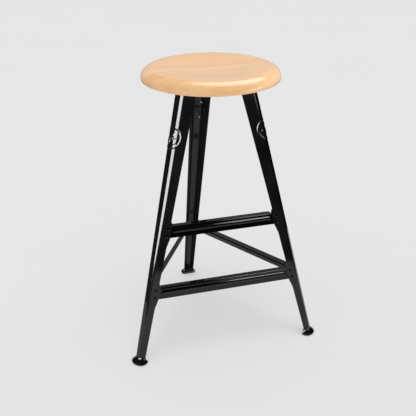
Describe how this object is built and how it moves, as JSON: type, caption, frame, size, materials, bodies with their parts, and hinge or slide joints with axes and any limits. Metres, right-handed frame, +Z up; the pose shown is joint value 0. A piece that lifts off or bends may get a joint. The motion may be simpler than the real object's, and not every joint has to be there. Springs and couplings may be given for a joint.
{
  "type": "adjustable swivel stool",
  "caption": "Tall workshop stool: round dished wooden seat on a swivelling, height-adjustable head, folded black steel legs, a footrest rung and lower rungs.",
  "frame": {"origin": "on the floor, under the middle of the stool's bounding box; the seat axis passes through y = -0.0618 m", "axes": "+Z up, the footrest and the two front legs face -Y, +X to the sitter's right hand seen from the front of the stool"},
  "size_m": [0.524, 0.4736, 0.75],
  "materials": {
    "black_enamel": "gloss",
    "beech": "gloss lacquer",
    "zinc": "satin",
    "brass": "satin",
    "glide": "matte"
  },
  "bodies": {
    "frame": {"leg_left": "black_enamel", "leg_right": "black_enamel", "leg_back": "black_enamel", "footrest": "black_enamel", "rung_front": "black_enamel", "rung_right": "black_enamel", "rung_left": "black_enamel", "hub": "black_enamel", "footrest_rivet_1": "black_enamel", "footrest_rivet_2": "black_enamel", "footrest_rivet_3": "black_enamel", "footrest_rivet_4": "black_enamel", "rung_front_rivet_1": "black_enamel", "rung_front_rivet_2": "black_enamel", "rung_front_rivet_3": "black_enamel", "rung_front_rivet_4": "black_enamel", "rung_right_rivet_1": "black_enamel", "rung_right_rivet_2": "black_enamel", "rung_right_rivet_3": "black_enamel", "rung_right_rivet_4": "black_enamel", "rung_left_rivet_1": "black_enamel", "rung_left_rivet_2": "black_enamel", "rung_left_rivet_3": "black_enamel", "rung_left_rivet_4": "black_enamel", "hub_rivet_front_1": "black_enamel", "hub_rivet_front_2": "black_enamel", "hub_rivet_right_1": "black_enamel", "hub_rivet_right_2": "black_enamel", "hub_rivet_left_1": "black_enamel", "hub_rivet_left_2": "black_enamel", "glide_left": "glide", "glide_right": "glide", "glide_back": "glide"},
    "nut": {"hand_nut": "zinc"},
    "pillar": {"adjusting_pillar": "zinc", "retaining_washer": "zinc", "retaining_bolt": "zinc", "stop_washer": "zinc", "stop_bolt": "zinc", "thrust_washer": "brass"},
    "seat": {"seat_board": "beech", "swivel_plate": "zinc", "seat_screw_1": "zinc", "seat_screw_2": "zinc", "seat_screw_3": "zinc", "seat_screw_4": "zinc"}
  },
  "joints": [
    {"name": "nut_turn", "type": "hinge", "parent": "frame", "child": "nut", "pos_m": [0, -0.06175, 0.7075], "axis": [0, 0, 1], "range_deg": [0, 1080]},
    {"name": "pillar_lift", "type": "slide", "parent": "frame", "child": "pillar", "axis": [0, 0, 1], "range_m": [0, 0.012]},
    {"name": "seat_swivel", "type": "hinge", "parent": "pillar", "child": "seat", "pos_m": [0, -0.06175, 0.7182], "axis": [0, 0, 1], "continuous": true}
  ],
  "couplings": [
    {"joint": "nut_turn", "follows": "pillar_lift", "rad_per_m": 1570.8}
  ]
}
